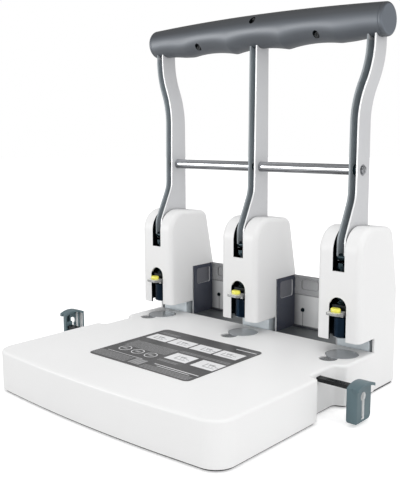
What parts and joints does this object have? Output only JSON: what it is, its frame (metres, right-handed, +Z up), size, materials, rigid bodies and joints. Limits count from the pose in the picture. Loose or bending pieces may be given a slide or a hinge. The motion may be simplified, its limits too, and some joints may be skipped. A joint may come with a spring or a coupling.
{
  "type": "lever hole punch",
  "caption": "Desk lever punch for loose paper: white table with side guides, hooded punch heads, long levers joined by a waved grip, smoked guards between the heads.",
  "frame": {"origin": "on the desk, in the middle plane of the centre head, half way between the front of the table and the rear wall", "axes": "+Z up, +X to the operator's right along the row of heads, +Y away from the operator"},
  "size_m": [0.3676, 0.255, 0.333],
  "materials": {
    "cover_white": "fine moulded texture, satin",
    "base_black": "powder coat",
    "rubber_black": "matt",
    "screw_steel": "zinc plated",
    "label_grey": "printed sheet, matt",
    "die_steel": "blued",
    "tray_grey": "satin",
    "frame_cast": "painted blue-grey, satin",
    "sleeve_blued": "blued, glossy",
    "pin_steel": "ground",
    "spring_steel": "drawn wire",
    "disc_grey": "satin",
    "latch_steel": "zinc plated",
    "button_yellow": "gloss",
    "arm_steel": "galvanised, satin",
    "bar_chrome": "polished",
    "grip_slate": "satin, soft sheen",
    "guard_smoke": "smoked clear plastic",
    "guide_blue": "satin",
    "rail_black": "satin"
  },
  "bodies": {
    "base": {"base_plate": "base_black", "rubber_feet": "rubber_black", "base_screws": "screw_steel", "table_cover": "cover_white", "instruction_plate": "label_grey", "die_plate": "die_steel", "die_supports": "die_steel", "frame_bolts": "screw_steel", "rear_cover": "cover_white", "pivot_pins": "screw_steel", "guard_left": "guard_smoke", "guard_right": "guard_smoke", "guard_screws": "screw_steel", "guide_channels": "rail_black", "head_cover_left": "cover_white", "head_frame_left": "frame_cast", "punch_sleeve_left": "sleeve_blued", "head_cover_centre": "cover_white", "head_frame_centre": "frame_cast", "punch_sleeve_centre": "sleeve_blued", "head_cover_right": "cover_white", "head_frame_right": "frame_cast", "punch_sleeve_right": "sleeve_blued"},
    "handle": {"cross_bar": "bar_chrome", "cross_bar_rivets": "screw_steel", "grip_front": "grip_slate", "grip_rear": "grip_slate", "grip_core": "pin_steel", "grip_screws": "screw_steel", "grip_cap_left": "grip_slate", "grip_cap_right": "grip_slate", "lever_arm_left": "arm_steel", "drive_bar_left": "pin_steel", "lever_arm_centre": "arm_steel", "drive_bar_centre": "pin_steel", "lever_arm_right": "arm_steel", "drive_bar_right": "pin_steel"},
    "ram_left": {"punch_pin_left": "pin_steel", "punch_cap_left": "pin_steel", "return_spring_left": "spring_steel"},
    "latch_left": {"latch_plate_left": "latch_steel", "latch_button_left": "button_yellow"},
    "disc_left": {"cutting_disc_left": "disc_grey"},
    "ram_centre": {"punch_pin_centre": "pin_steel", "punch_cap_centre": "pin_steel", "return_spring_centre": "spring_steel"},
    "latch_centre": {"latch_plate_centre": "latch_steel", "latch_button_centre": "button_yellow"},
    "disc_centre": {"cutting_disc_centre": "disc_grey"},
    "ram_right": {"punch_pin_right": "pin_steel", "punch_cap_right": "pin_steel", "return_spring_right": "spring_steel"},
    "latch_right": {"latch_plate_right": "latch_steel", "latch_button_right": "button_yellow"},
    "disc_right": {"cutting_disc_right": "disc_grey"},
    "guide_left": {"guide_plate_left": "guide_blue", "guide_rail_left": "rail_black"},
    "guide_right": {"guide_plate_right": "guide_blue", "guide_rail_right": "rail_black"},
    "tray": {"chip_tray": "tray_grey"}
  },
  "joints": [
    {"name": "handle_hinge", "type": "hinge", "parent": "base", "child": "handle", "pos_m": [0, 0.0895, 0.124], "axis": [1, 0, 0], "range_deg": [0, 50], "stiffness_Nm_per_rad": 2, "springref_deg": -8.59},
    {"name": "ram_left_slide", "type": "slide", "parent": "base", "child": "ram_left", "axis": [0, 0, -1], "range_m": [0, 0.016], "deforming": ["return_spring_left"]},
    {"name": "ram_centre_slide", "type": "slide", "parent": "base", "child": "ram_centre", "axis": [0, 0, -1], "range_m": [0, 0.016], "deforming": ["return_spring_centre"]},
    {"name": "ram_right_slide", "type": "slide", "parent": "base", "child": "ram_right", "axis": [0, 0, -1], "range_m": [0, 0.016], "deforming": ["return_spring_right"]},
    {"name": "latch_left_slide", "type": "slide", "parent": "base", "child": "latch_left", "axis": [0, -1, 0], "range_m": [0, 0.004]},
    {"name": "latch_centre_slide", "type": "slide", "parent": "base", "child": "latch_centre", "axis": [0, -1, 0], "range_m": [0, 0.004]},
    {"name": "latch_right_slide", "type": "slide", "parent": "base", "child": "latch_right", "axis": [0, -1, 0], "range_m": [0, 0.004]},
    {"name": "disc_left_turn", "type": "hinge", "parent": "base", "child": "disc_left", "pos_m": [-0.1055, 0.064, 0.0344], "axis": [0, 0, 1], "range_deg": [0, 350]},
    {"name": "disc_centre_turn", "type": "hinge", "parent": "base", "child": "disc_centre", "pos_m": [0.0025, 0.064, 0.0344], "axis": [0, 0, 1], "range_deg": [0, 350]},
    {"name": "disc_right_turn", "type": "hinge", "parent": "base", "child": "disc_right", "pos_m": [0.1105, 0.064, 0.0344], "axis": [0, 0, 1], "range_deg": [0, 350]},
    {"name": "guide_right_slide", "type": "slide", "parent": "base", "child": "guide_right", "axis": [1, 0, 0], "range_m": [-0.0279, 0.0491]},
    {"name": "guide_left_slide", "type": "slide", "parent": "base", "child": "guide_left", "axis": [-1, 0, 0], "range_m": [-0.0737, 0.0028]},
    {"name": "tray_slide", "type": "slide", "parent": "base", "child": "tray", "axis": [0, 1, 0], "range_m": [0, 0.07]}
  ],
  "couplings": [
    {"joint": "ram_left_slide", "follows": "handle_hinge", "m_per_rad": 0.01833},
    {"joint": "ram_centre_slide", "follows": "handle_hinge", "m_per_rad": 0.01833},
    {"joint": "ram_right_slide", "follows": "handle_hinge", "m_per_rad": 0.01833}
  ]
}
